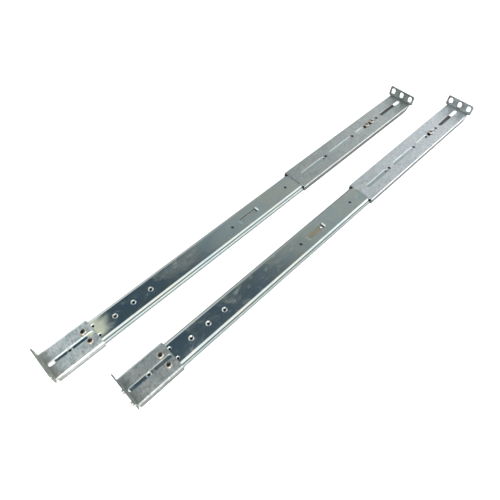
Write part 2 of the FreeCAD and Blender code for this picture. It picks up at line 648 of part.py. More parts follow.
# Inner member: the channel that is fastened to the chassis, with four round screw holes.
def inner_member(side):
    body = new_body(side + "_inner_member")
    sk = new_sketch(body, "YZ_Plane", "section", "inner_front")
    polygon(sk, mirrored([("inner_in", "inner_floor"), ("inner_in", "inner_top"),
                          ("inner_half", "inner_top"), ("inner_half", "inner_under")]))
    solid = pad(body, sk, "inner_length")
    tip = dress(body, "Fillet", solid, along_x("inner_half", "inner_under", 50), "inner_bend", "bends")
    dress(body, "Fillet", tip, along_x("inner_in", "inner_floor", 50), "inner_bend_in", "bends_in")
    sk = new_sketch(body, "YZ_Plane", "grooves", "inner_front")
    for y in ("inner_race_y", "-inner_race_y"):
        circle(sk, y, "race_z", "race_radius")
    cut_through(body, sk)
    sk = new_sketch(body, "XY_Plane", "holes", "0")
    for x in ("chassis_a", "chassis_b", "chassis_c", "chassis_d"):
        circle(sk, x, "0", "chassis_hole")
    circle(sk, "lever_pivot_x", "0", "pin_hole")
    cut_through(body, sk)
    place(body, side)
    return body


# ---------------------------------------------------------------------------------------------
# Ball retainers, thin strips that bridge the web and hold a row of balls at each side.
BALLS = 12


def ball_places(start):
    return [start + " + cage_end + ball_pitch*%d" % i for i in range(BALLS)]


def retainer(side, label, start, half_outline, bend_y, bend_z, bend_r, openings):
    body = new_body(side + label)
    sk = new_sketch(body, "YZ_Plane", "section", start)
    polygon(sk, mirrored(half_outline))
    solid = pad(body, sk, "cage_length")
    if bend_y:
        dress(body, "Fillet", solid, along_x(bend_y, bend_z, 50), bend_r, "bends")
    sk = new_sketch(body, "XZ_Plane", "pockets", "0")
    for x in ball_places(start):
        circle(sk, x, "race_z", "pocket_radius")
    cut_through(body, sk)
    sk = new_sketch(body, "XY_Plane", "web_openings", "0")
    for a, b in openings:
        a, b = start + " + %s" % a, start + " + %s" % b
        polygon(sk, [(a, "cage_window_half"), (a, "-cage_window_half"), (b, "-cage_window_half"),
                     (b, "cage_window_half")])
    if openings:
        cut_through(body, sk)
    place(body, side)
    return body


def outer_retainer(side):
    return retainer(side, "_outer_ball_retainer", side + "_cage_x",
                    [("outer_cage_a", "outer_cage_top"), ("outer_cage_out", "outer_cage_drop"),
                     ("outer_cage_out", "cage_low"), ("outer_cage_in", "cage_low"),
                     ("outer_cage_in", "outer_cage_drop_in"), ("outer_cage_b", "outer_cage_under")],
                    None, None, None, ((20.0, 86.0), (113.5, 166.5), (194.0, 260.0)))


def inner_retainer(side):
    return retainer(side, "_inner_ball_retainer", "inner_cage_x",
                    [("inner_cage_out", "inner_cage_top"), ("inner_cage_out", "cage_low"),
                     ("inner_cage_in", "cage_low"), ("inner_cage_in", "inner_cage_under")],
                    "inner_cage_out", "inner_cage_top", "inner_cage_bend", ())


def balls(side, label, start, y):
    members = []
    for i, x in enumerate(ball_places(start)):
        for s in (1, -1):
            ball = doc.addObject("Part::Sphere", "%s%s_%d_%s" % (side, label, i, "a" if s == 1 else "b"))
            ball.Radius = val("ball_radius")
            bind(ball, "Radius", "ball_radius")
            yy = y if s == 1 else minus(y)
            ball.Placement = Placement(Vector(val(x), val(yy), val("race_z")), Rotation())
            bind(ball, "Placement.Base.x", x)
            bind(ball, "Placement.Base.y", yy)
            bind(ball, "Placement.Base.z", "race_z")
            members.append(ball)
    group = doc.addObject("Part::Compound", side + label)
    group.Label = side + label
    group.Links = members
    doc.recompute()
    place(group, side)
    return group


# ---------------------------------------------------------------------------------------------
# Plastic stops
def rear_bumper(side):
    """Stop block at the rear of the outer member, with a tongue that fills the web's notch."""
    body = new_body(side + "_rear_bumper")
    sk = new_sketch(body, "XY_Plane", "block", "-outer_wall")
    polygon(sk, [("bumper_near", "bumper_half - 2"), ("bumper_near + 2", "bumper_half"), ("bumper_far", "bumper_half"),
                 ("bumper_far", "-bumper_half"), ("bumper_near + 2", "-bumper_half"),
                 ("bumper_near", "-bumper_half + 2")])
    pad(body, sk, "-outer_wall - bumper_low", reverse=True)
    sk = new_sketch(body, "XY_Plane", "tongue", "tongue_under")
    polygon(sk, [("tongue_near", "notch_half"), ("bumper_far", "notch_half"), ("bumper_far", "-notch_half"),
                 ("tongue_near", "-notch_half")])
    pad(body, sk, "tongue_top - tongue_under")
    place(body, side)
    return body


def middle_bumper(side):
    """Stop block riveted under the web at the rear of the middle member."""
    body = new_body(side + "_middle_bumper")
    sk = new_sketch(body, "XY_Plane", "block", "middle_under")
    polygon(sk, [("stop_near", "stop_half - 2.5"), ("stop_near + 2", "stop_half - 0.5"), ("stop_far", "stop_half - 0.5"),
                 ("stop_far", "-stop_half + 0.5"), ("stop_near + 2", "-stop_half + 0.5"),
                 ("stop_near", "-stop_half + 2.5")])
    pad(body, sk, "middle_under - stop_low", reverse=True)
    sk = new_sketch(body, "XY_Plane", "rivet_hole", "0")
    circle(sk, "rivet_x", "0", "rivet_hole")
    cut_through(body, sk)
    place(body, side)
    return body


def rivet(side, label, x, shank, top, low, head, head_up):
    """A plain rivet: straight shank and one low head."""
    body = new_body(side + label)
    sk = new_sketch(body, "XY_Plane", "shank", low)
    circle(sk, x, "0", shank)
    pad(body, sk, top + " - " + low if not low.startswith("-") else top + " + " + low[1:])
    if head_up:
        sk = new_sketch(body, "XY_Plane", "head", top)
        circle(sk, x, "0", head)
        solid = pad(body, sk, "0.6")
        dress(body, "Fillet", solid, round_edge(top + " + 0.6", head), "0.45", "dome")
    else:
        sk = new_sketch(body, "XY_Plane", "head", low)
        circle(sk, x, "0", head)
        solid = pad(body, sk, "0.6", reverse=True)
        dress(body, "Fillet", solid, round_edge(low + " - 0.6", head), "0.45", "dome")
    place(body, side)
    return body


# Release lever: pivots on a rivet in the floor of the inner member and swings sideways. When the slide is
# fully open its nose meets the stop tab of the middle member. The right rail's nose is on the other side.
def release_lever(side):
    body = new_body(side + "_release_lever")
    sk = new_sketch(body, "XY_Plane", "arm", "lever_under")
    polygon(sk, [("lever_pivot_x - lever_half", "lever_half - 1.2"), ("lever_pivot_x - lever_half + 1.2", "lever_half"),
                 ("lever_pivot_x + lever_half", "lever_half"), ("lever_waist", "lever_tip_half"),
                 ("lever_tip_x - 1.5", "lever_tip_half"), ("lever_tip_x", "lever_tip_half - 1.5"),
                 ("lever_tip_x", "-lever_tip_half + 1.5"), ("lever_tip_x - 1.5", "-lever_tip_half"),
                 ("lever_waist", "-lever_tip_half"), ("lever_pivot_x + lever_half", "-lever_half"),
                 ("lever_pivot_x - lever_half + 1.2", "-lever_half"), ("lever_pivot_x - lever_half", "-lever_half + 1.2")])
    pad(body, sk, "lever_top - lever_under")
    # finger pad, thicker than the arm, and the catch nose
    sk = new_sketch(body, "XY_Plane", "finger_pad", "lever_top")
    polygon(sk, [("pad_near", "lever_tip_half"), ("pad_near", "-lever_tip_half"),
                 ("pad_far", "-lever_tip_half"), ("pad_far", "lever_tip_half")])
    pad(body, sk, "pad_top - lever_top")
    sk = new_sketch(body, "XY_Plane", "nose", "lever_under")
    nose = [("nose_x", "lever_tip_half"), ("nose_x + 7", "lever_tip_half"), ("nose_x", "nose_out")]
    polygon(sk, nose if side == "left" else [(u, minus(w)) for u, w in nose])
    pad(body, sk, "nose_top - lever_under")
    sk = new_sketch(body, "XY_Plane", "pivot_hole", "0")
    circle(sk, "lever_pivot_x", "0", "lever_hole")
    cut_through(body, sk)
    place(body, side)
    return body


# ---------------------------------------------------------------------------------------------
for side in ("left", "right"):
    outer_member(side)
    front_bracket(side)
    rear_bracket(side)
    screws(side, "_front_bracket_screws", [("screw_x", "tap_row"), ("screw_x", "-tap_row")], "sheet")
    rear_spots = [(side + "_rear_screw + rear_screw_pitch", "0")]
    if side == "left":
        rear_spots.insert(0, ("left_rear_screw", "0"))
    screws(side, "_rear_bracket_screws", rear_spots, "sheet + slide_gap*2")
    if side == "right":
        rack_inserts(side)
    middle_member(side)
    inner_member(side)
    outer_retainer(side)
    inner_retainer(side)
    balls(side, "_outer_balls", side + "_cage_x", "race_y")
    balls(side, "_inner_balls", "inner_cage_x", "inner_race_y")
    rear_bumper(side)
    middle_bumper(side)
    rivet(side, "_middle_bumper_rivet", "rivet_x", "rivet_shank", "middle_top", "stop_low", "rivet_head", False)
    release_lever(side)
    rivet(side, "_lever_rivet", "lever_pivot_x", "pin_radius", "lever_top + 0.1", "inner_under", "pin_head", True)

doc.recompute()

faults = []
for obj in doc.Objects:
    if "Invalid" in obj.State or "Error" in obj.State:
        faults.append("%s is %s" % (obj.Label, obj.State))
for obj in PARTS:
    if obj.Shape.isNull() or not obj.Shape.isValid() or obj.Shape.Volume <= 0:
        faults.append("%s has no valid shape" % obj.Label)
if faults:
    raise RuntimeError("; ".join(faults))

os.makedirs("parts", exist_ok=True)
low = [1e9] * 3
high = [-1e9] * 3
for obj in PARTS:
    obj.Shape.exportStep("parts/%s.step" % obj.Label)
    box = obj.Shape.optimalBoundingBox(False)
    for i, (a, b) in enumerate(((box.XMin, box.XMax), (box.YMin, box.YMax), (box.ZMin, box.ZMax))):
        low[i], high[i] = min(low[i], a), max(high[i], b)
    print("%-32s solids %2d volume %10.1f mm3" % (obj.Label, len(obj.Shape.Solids), obj.Shape.Volume))
print("parts", len(PARTS), "box", [round(v, 3) for v in low], [round(v, 3) for v in high])
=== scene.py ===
import math

import bpy
from mathutils import Matrix, Vector

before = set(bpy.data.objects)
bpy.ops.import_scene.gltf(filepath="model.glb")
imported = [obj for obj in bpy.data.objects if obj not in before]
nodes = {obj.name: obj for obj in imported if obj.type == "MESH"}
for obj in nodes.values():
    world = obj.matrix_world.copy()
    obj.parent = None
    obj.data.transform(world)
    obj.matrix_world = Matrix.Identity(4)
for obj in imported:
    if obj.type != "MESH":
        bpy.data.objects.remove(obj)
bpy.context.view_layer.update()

SIDES = ("left", "right")


# ------------------------------------------------------------------ node tree helper
class Tree:
    """Short names for the nodes of one material."""

    def __init__(self, name):
        self.mat = bpy.data.materials.new(name)
        self.mat.use_nodes = True
        self.t = self.mat.node_tree
        for n in list(self.t.nodes):
            self.t.nodes.remove(n)
        self.out = self.t.nodes.new("ShaderNodeOutputMaterial")
        self.bsdf = self.t.nodes.new("ShaderNodeBsdfPrincipled")
        self.t.links.new(self.bsdf.outputs[0], self.out.inputs[0])
        self.coord = self.t.nodes.new("ShaderNodeTexCoord")
        self.mm = self.math3("MULTIPLY", self.coord.outputs["Object"], (1000.0, 1000.0, 1000.0))

    def link(self, a, b):
        if isinstance(a, (int, float)):
            b.default_value = a
        elif isinstance(a, (tuple, list)):
            b.default_value = a if len(a) == len(b.default_value) else tuple(a) + (1.0,)
        else:
            self.t.links.new(a, b)

    def math3(self, op, a, b):
        n = self.t.nodes.new("ShaderNodeVectorMath")
        n.operation = op
        self.link(a, n.inputs[0])
        self.link(b, n.inputs[1])
        return n.outputs[0]

    def math(self, op, a, b=0.0, clamp=False):
        n = self.t.nodes.new("ShaderNodeMath")
        n.operation = op
        n.use_clamp = clamp
        self.link(a, n.inputs[0])
        self.link(b, n.inputs[1])
        return n.outputs[0]

    def parts(self, v):
        n = self.t.nodes.new("ShaderNodeSeparateXYZ")
        self.link(v, n.inputs[0])
        return n.outputs

    def noise(self, scale, detail=4.0, rough=0.55, stretch=(1, 1, 1), shift=(0, 0, 0), warp=0.0):
        """Noise of about scale mm; stretch makes it longer along an axis."""
        v = self.math3("MULTIPLY", self.mm, tuple(1.0 / (scale * s) for s in stretch))
        v = self.math3("ADD", v, tuple(float(s) for s in shift))
        n = self.t.nodes.new("ShaderNodeTexNoise")
        self.link(v, n.inputs["Vector"])
        n.inputs["Scale"].default_value = 1.0
        n.inputs["Detail"].default_value = detail
        n.inputs["Roughness"].default_value = rough
        n.inputs["Distortion"].default_value = warp
        return n.outputs["Fac"]

    def cells(self, scale, stretch=(1, 1, 1), shift=(0, 0, 0), out="Color"):
        v = self.math3("MULTIPLY", self.mm, tuple(1.0 / (scale * s) for s in stretch))
        v = self.math3("ADD", v, tuple(float(s) for s in shift))
        n = self.t.nodes.new("ShaderNodeTexVoronoi")
        self.link(v, n.inputs["Vector"])
        n.inputs["Scale"].default_value = 1.0
        return n.outputs[out]

    def ramp(self, fac, stops):
        n = self.t.nodes.new("ShaderNodeValToRGB")
        self.link(fac, n.inputs[0])
        r = n.color_ramp
        while len(r.elements) > 1:
            r.elements.remove(r.elements[-1])
        r.elements[0].position = stops[0][0]
        r.elements[0].color = self.rgba(stops[0][1])
        for p, c in stops[1:]:
            e = r.elements.new(p)
            e.color = self.rgba(c)
        return n.outputs[0]

    @staticmethod
    def rgba(c):
        if isinstance(c, (int, float)):
            return (c, c, c, 1.0)
        return tuple(c) + (1.0,) if len(c) == 3 else tuple(c)

    def span(self, v, a, b, lo=0.0, hi=1.0):
        n = self.t.nodes.new("ShaderNodeMapRange")
        n.clamp = True
        n.interpolation_type = "SMOOTHSTEP"
        self.link(v, n.inputs["Value"])
        n.inputs["From Min"].default_value = a
        n.inputs["From Max"].default_value = b
        n.inputs["To Min"].default_value = lo
        n.inputs["To Max"].default_value = hi
        return n.outputs[0]

    def mix(self, fac, a, b, blend="MIX"):
        n = self.t.nodes.new("ShaderNodeMix")
        n.data_type = "RGBA"
        n.blend_type = blend
        n.clamp_factor = True
        self.link(fac, n.inputs[0])
        self.link(a, n.inputs[6])
        self.link(b, n.inputs[7])
        return n.outputs[2]

    def bump(self, height, strength, distance, normal=None):
        n = self.t.nodes.new("ShaderNodeBump")
        n.inputs["Strength"].default_value = strength
        n.inputs["Distance"].default_value = distance
        self.link(height, n.inputs["Height"])
        if normal is not None:
            self.link(normal, n.inputs["Normal"])
        return n.outputs[0]

    def near(self, spots, inner, outer):
        """1 within inner mm of any of the (x, y) spots, 0 beyond outer."""
        xyz = self.parts(self.mm)
        best = None
        for x, y in spots:
            dx = self.math("SUBTRACT", xyz[0], x)
            dy = self.math("SUBTRACT", xyz[1], y)
            d = self.math("SQRT", self.math("ADD", self.math("MULTIPLY", dx, dx), self.math("MULTIPLY", dy, dy)))
            best = d if best is None else self.math("MINIMUM", best, d)
        return self.span(best, outer, inner)

    def set(self, **values):
        for k, v in values.items():
            self.link(v, self.bsdf.inputs[k.replace("_", " ")])
        return self.mat


# ------------------------------------------------------------------ metals
def blue_zinc(name, seed, centre, rings, dirt=1.0, mark=None):
    # mark is (x, y) in mm of the start of a pale wiped smear across the web
    """Glossy blue-passivated sheet: cloudy patches, handling smears, faint rainbow, fine rolling lines."""
    m = Tree(name)
    cloud = m.noise(34, 5, 0.62, (1.5, 1.0, 1.0), (seed, 0, 0), 0.6)
    patch = m.noise(9, 4, 0.6, (1.4, 0.9, 1.0), (seed + 3.1, 2.0, 0), 0.4)
    tint = m.noise(60, 3, 0.5, (1.6, 0.7, 1.0), (seed + 7.7, 5.0, 0), 1.2)
    roll = m.noise(0.55, 3, 0.6, (60.0, 1.0, 1.0), (seed, 0, 0))
    fine = m.noise(0.9, 2, 0.5)
    colour = m.ramp(cloud, [(0.30, (0.40, 0.48, 0.56)), (0.45, (0.50, 0.57, 0.60)), (0.58, (0.58, 0.63, 0.62)),
                            (0.72, (0.62, 0.64, 0.60))])
    hue = m.ramp(tint, [(0.30, (0.46, 0.60, 0.68)), (0.46, (0.58, 0.63, 0.62)), (0.56, (0.63, 0.62, 0.55)),
                        (0.66, (0.55, 0.62, 0.62)), (0.76, (0.56, 0.53, 0.62))])
    colour = m.mix(0.45, colour, hue)
    streak = m.span(patch, 0.54, 0.70)
    colour = m.mix(m.math("MULTIPLY", streak, 0.30), colour, (0.70, 0.74, 0.72))
    colour = m.mix(m.math("MULTIPLY", m.span(roll, 0.3, 0.7), 0.12), colour, (0.42, 0.46, 0.48))
    smear = m.math("MULTIPLY", m.span(cloud, 0.50, 0.68), 0.10 * dirt)
    if mark is not None:
        # pale wiped smear beside the front bracket, fading along the rail
        xyz = m.parts(m.mm)
        along = m.math("ADD", xyz[0], m.math("MULTIPLY", m.math("SUBTRACT", patch, 0.5), 26.0))
        across = m.math("ADD", xyz[1], m.math("MULTIPLY", m.math("SUBTRACT", cloud, 0.5), 8.0))
        wiped = m.math("MULTIPLY", m.span(along, mark[0] + 34.0, mark[0] + 10.0), m.span(xyz[2], 9.0, 9.4))
        wiped = m.math("MULTIPLY", wiped, m.span(across, mark[1] - 12.5, mark[1] - 7.0, 0.35, 1.0))
        wiped = m.math("MULTIPLY", wiped, m.span(xyz[0], mark[0] - 4.0, mark[0]))
        colour = m.mix(m.math("MULTIPLY", wiped, 0.85), colour, (0.78, 0.80, 0.64))
        smear = m.math("ADD", smear, m.math("MULTIPLY", wiped, 0.34))
    # painted shade in the holes and along the cut edges of the web
    low = m.parts(m.mm)
    hole_wall_shade = m.math("MULTIPLY", m.span(low[2], 9.16, 8.90), m.span(m.math("ABSOLUTE", m.math("SUBTRACT", low[1], centre)), 9.5, 9.0))
    colour = m.mix(m.math("MULTIPLY", hole_wall_shade, 0.92), colour, (0.05, 0.055, 0.06))
    colour = m.mix(m.math("MULTIPLY", m.near(rings, 1.7, 2.3), 0.90), colour, (0.05, 0.055, 0.06))
    # painted shade in the rolled line of each shoulder, bluer film on the steep side below it
    out = m.math("ABSOLUTE", m.math("SUBTRACT", low[1], centre))
    line = m.span(m.math("ABSOLUTE", m.math("SUBTRACT", out, 15.42)), 0.80, 0.40)
    line = m.math("MULTIPLY", line, m.span(low[2], 7.1, 7.5))
    side = m.math("MULTIPLY", m.span(out, 15.8, 16.2), m.span(low[2], 3.2, 4.2))
    colour = m.mix(m.math("MULTIPLY", side, 0.55), colour, (0.56, 0.72, 0.76))
    colour = m.mix(m.math("MULTIPLY", line, 0.85), colour, (0.09, 0.11, 0.12))
    # painted shade: the side walls darken towards the bottom
    colour = m.mix(m.math("MULTIPLY", m.span(low[2], 4.4, 2.6), 0.75), colour, (0.12, 0.14, 0.15))
    rough = m.math("ADD", m.math("MULTIPLY", streak, 0.10), smear)
    rough = m.math("ADD", rough, 0.17)
    height = m.math("ADD", m.math("MULTIPLY", roll, 0.25), m.math("MULTIPLY", fine, 0.35))
    normal = m.bump(cloud, 0.35, 0.00035)
    normal = m.bump(height, 0.06, 0.00005, normal)
    return m.set(Base_Color=colour, Metallic=1.0, Roughness=rough, Normal=normal)


def satin_zinc(name, seed, light, warm, mottle, rough, fold_x, away, flange_side_shade_amount, rings=(), tint=(1.0, 1.0, 1.0)):
    """Satin zinc sheet of the brackets: fine cross grain, soft spangle, grey-brown handling marks."""
    m = Tree(name)
    grain = m.noise(0.42, 4, 0.65, (1.0, 26.0, 1.0), (seed, 0, 0))
    cloud = m.noise(17, 5, 0.6, (1.2, 1.0, 1.0), (seed + 4.0, 1.0, 0), 0.8)
    stain = m.noise(26, 4, 0.6, (1.0, 0.8, 1.0), (seed + 9.0, 3.0, 0), 0.5)
    fleck = m.cells(1.5, (1.0, 1.4, 1.0), (seed, 0, 0))
    fleck = m.parts(fleck)[0]
    blotch = m.noise(5.5, 5, 0.7, (1.0, 1.2, 1.0), (seed + 2.0, 6.0, 0), 1.0)
    pit = m.noise(1.1, 3, 0.6)
    # each tone is scaled by the brightness factor; the different factors given to the left and right copies of the
    # same bracket are painted light and shade
    base = m.ramp(cloud, [(0.28, tuple(light * c for c in (0.74, 0.86, 0.90))), (0.50, tuple(light * c for c in (0.86, 0.95, 0.96))),
                          (0.72, tuple(light * c for c in (0.95, 1.02, 1.00)))])
    base = m.mix(m.math("MULTIPLY", m.span(stain, 0.52, 0.72), warm), base, (0.52, 0.47, 0.41))
    base = m.mix(m.math("MULTIPLY", m.span(stain, 0.46, 0.30), warm * 0.8), base, (0.42, 0.53, 0.56))
    base = m.mix(m.math("MULTIPLY", m.span(blotch, 0.50, 0.66), mottle), base, tuple(light * c for c in (0.46, 0.45, 0.42)))
    base = m.mix(m.math("MULTIPLY", m.span(blotch, 0.47, 0.34), mottle), base, tuple(light * c for c in (1.16, 1.22, 1.20)))
    base = m.mix(m.math("MULTIPLY", m.span(fleck, 0.35, 0.95), 0.45), base, tuple(light * c for c in (1.18, 1.22, 1.22)))
    base = m.mix(m.math("MULTIPLY", m.span(grain, 0.35, 0.65), 0.30), base, tuple(light * c for c in (0.58, 0.62, 0.65)))
    hatch = m.noise(1.25, 3, 0.6, (1.0, 3.5, 1.0), (seed + 5.0, 2.0, 0), 0.5)
    base = m.mix(m.math("MULTIPLY", m.span(hatch, 0.50, 0.64), 0.55), base, tuple(light * c for c in (0.50, 0.53, 0.55)))
    base = m.mix(m.math("MULTIPLY", m.span(hatch, 0.47, 0.36), 0.40), base, tuple(light * c for c in (1.20, 1.24, 1.25)))
    base = m.mix(1.0, base, tint, "MULTIPLY")
    # painted shade in the dimple holes of the bracket
    if rings:
        base = m.mix(m.math("MULTIPLY", m.near(rings, 1.9, 2.6), 0.92), base, (0.05, 0.05, 0.05))
    # painted shade: the upright flange is darkened, a dark line is painted in its fold, and the plate beside the
    # flange is darkened
    z = m.parts(m.mm)[2]
    x = m.parts(m.mm)[0]
    upright = m.span(z, 11.6, 12.6)
    base = m.mix(m.math("MULTIPLY", upright, 0.62), base, m.mix(m.span(blotch, 0.42, 0.60), (0.16, 0.19, 0.19), (0.44, 0.50, 0.49)))
    # painted shade: the side walls darken towards the bottom
    base = m.mix(m.math("MULTIPLY", m.span(z, 6.2, 4.2), 0.70), base, (0.16, 0.19, 0.20))
    fold = m.math("MULTIPLY", m.span(z, 11.18, 11.45), m.span(z, 13.4, 12.2))
    base = m.mix(m.math("MULTIPLY", fold, 0.85), base, (0.08, 0.09, 0.09))
    flange_side_shade = m.span(m.math("ADD", m.math("MULTIPLY", m.math("SUBTRACT", x, fold_x), away), m.math("MULTIPLY", cloud, 12.0)), 22.0, 8.0)
    base = m.mix(m.math("MULTIPLY", flange_side_shade, flange_side_shade_amount), base, tuple(light * c for c in (0.46, 0.47, 0.43)))
    r = m.math("ADD", m.math("MULTIPLY", cloud, 0.14), rough - 0.07)
    r = m.math("ADD", r, m.math("MULTIPLY", fleck, 0.05))
    height = m.math("ADD", m.math("MULTIPLY", grain, 0.7), m.math("MULTIPLY", pit, 0.5))
    normal = m.bump(blotch, 0.5, 0.00035)
    normal = m.bump(height, 0.22, 0.00006, normal)
    return m.set(Base_Color=base, Metallic=1.0, Roughness=r, Normal=normal)


def bright_zinc(name, seed, colour=(0.66, 0.69, 0.69), rough=0.26, hole_shade_spots=()):
    """Drawn channel of the middle and chassis members: bright plate, long drawing lines, brownish haze, painted shade
    spots under the holes of the outer web.
    """
    m = Tree(name)
    lines = m.noise(0.5, 3, 0.6, (80.0, 1.0, 1.0), (seed, 0, 0))
    cloud = m.noise(22, 4, 0.6, (2.0, 1.0, 1.0), (seed + 2.0, 0, 0), 0.5)
    spot = m.noise(3.2, 3, 0.6, (1.0, 1.0, 1.0), (seed + 5.0, 0, 0))
    base = m.mix(m.span(cloud, 0.35, 0.68), tuple(0.82 * c for c in colour), colour)
    base = m.mix(m.math("MULTIPLY", m.span(lines, 0.35, 0.7), 0.22), base, tuple(0.62 * c for c in colour))
    base = m.mix(m.math("MULTIPLY", m.span(spot, 0.60, 0.72), 0.35), base, (0.50, 0.47, 0.38))
    # painted shade: near-black spots where the holes of the outer web lie above
    if hole_shade_spots:
        base = m.mix(m.math("MULTIPLY", m.near(hole_shade_spots, 1.7, 3.0), 0.92), base, (0.035, 0.034, 0.032))
    r = m.math("ADD", m.math("MULTIPLY", cloud, 0.16), rough - 0.08)
    normal = m.bump(m.math("ADD", m.math("MULTIPLY", lines, 0.8), m.math("MULTIPLY", spot, 0.2)), 0.16, 0.00006)
    return m.set(Base_Color=base, Metallic=1.0, Roughness=r, Normal=normal)


def strip_steel(name, seed, hole_shade_spots=()):
    """Ball retainer strip: thin yellow-passivated steel with an uneven golden film."""
    m = Tree(name)
    film = m.noise(12, 4, 0.6, (2.5, 1.0, 1.0), (seed, 0, 0), 1.0)
    lines = m.noise(0.4, 3, 0.6, (60.0, 1.0, 1.0), (seed, 0, 0))
    base = m.ramp(film, [(0.30, (0.44, 0.40, 0.32)), (0.48, (0.52, 0.47, 0.36)), (0.60, (0.52, 0.50, 0.43)),
                         (0.74, (0.44, 0.43, 0.42))])
    base = m.mix(m.math("MULTIPLY", m.span(lines, 0.4, 0.7), 0.2), base, (0.34, 0.30, 0.22))
    # painted shade: near-black spots where the holes of the outer web lie above
    if hole_shade_spots:
        base = m.mix(m.math("MULTIPLY", m.near(hole_shade_spots, 1.7, 3.0), 0.92), base, (0.035, 0.034, 0.032))
    r = m.math("ADD", m.math("MULTIPLY", film, 0.2), 0.18)
    return m.set(Base_Color=base, Metallic=1.0, Roughness=r, Normal=m.bump(lines, 0.12, 0.00005))


def ball_steel(name):
    m = Tree(name)
    haze = m.noise(0.9, 3, 0.6)
    film = m.noise(6, 3, 0.6, (1, 1, 1), (3, 1, 0))
    base = m.mix(m.span(film, 0.35, 0.7), (0.74, 0.75, 0.76), (0.66, 0.62, 0.52))
    return m.set(Base_Color=base, Metallic=1.0, Roughness=m.math("ADD", m.math("MULTIPLY", haze, 0.10), 0.05),
                 Normal=m.bump(haze, 0.03, 0.00002))


def screw_metal(name, seed, spots):
    """Nickel-plated screw heads, warm, with painted shade in the recess and fine turning marks."""
    m = Tree(name)
    film = m.noise(2.2, 3, 0.6, (1, 1, 1), (seed, 0, 0), 0.6)
    fine = m.noise(0.25, 2, 0.6)
    z = m.parts(m.mm)[2]
    base = m.ramp(film, [(0.32, (0.30, 0.27, 0.24)), (0.50, (0.46, 0.43, 0.39)), (0.68, (0.66, 0.64, 0.60))])
    middle = m.near(spots, 2.3, 2.7)
    # painted shade: the deep middle of the recess is near black
    base = m.mix(m.math("MULTIPLY", m.math("MULTIPLY", m.span(z, 13.15, 12.6), middle), 0.92), base, (0.05, 0.035, 0.03))
    # painted shade at the foot of the head, where it meets the plate
    base = m.mix(m.math("MULTIPLY", m.span(z, 11.9, 11.4), 0.80), base, (0.07, 0.06, 0.05))
    r = m.math("ADD", m.math("MULTIPLY", fine, 0.12), 0.15)
    return m.set(Base_Color=base, Metallic=1.0, Roughness=r, Normal=m.bump(fine, 0.10, 0.00003))


def turned_steel(name, seed):
    """Machined inserts and rivets: grey plate with fine rings and a few dark nicks."""
    m = Tree(name)
    fine = m.noise(0.3, 3, 0.6, (1, 1, 1), (seed, 0, 0))
    film = m.noise(2.6, 3, 0.6, (1, 1, 1), (seed + 2, 0, 0))
    base = m.mix(m.span(film, 0.35, 0.7), (0.46, 0.46, 0.45), (0.64, 0.64, 0.62))
    base = m.mix(m.math("MULTIPLY", m.span(fine, 0.60, 0.72), 0.5), base, (0.22, 0.20, 0.18))
    return m.set(Base_Color=base, Metallic=1.0, Roughness=m.math("ADD", m.math("MULTIPLY", fine, 0.2), 0.22),
                 Normal=m.bump(fine, 0.18, 0.00004))


def moulded(name, seed, colour=(0.035, 0.036, 0.040)):
    """Moulded acetal: fine spark-eroded texture, slight sheen on rubbed places."""
    m = Tree(name)
    grain = m.noise(0.35, 3, 0.65, (1, 1, 1), (seed, 0, 0))
    rub = m.noise(5, 3, 0.6, (1.6, 1, 1), (seed + 4, 0, 0))
    base = m.mix(m.span(rub, 0.42, 0.7), colour, tuple(1.9 * c + 0.01 for c in colour))
    base = m.mix(m.math("MULTIPLY", m.span(grain, 0.58, 0.75), 0.5), base, tuple(2.8 * c for c in colour))
    return m.set(Base_Color=base, Roughness=m.math("SUBTRACT", 0.62, m.math("MULTIPLY", rub, 0.25)),
                 Normal=m.bump(grain, 0.25, 0.00006))


def wear(obj, mat):
    for s in obj.material_slots:
        s.link = "OBJECT"
        s.material = mat
    if not obj.material_slots:
        obj.data.materials.append(mat)


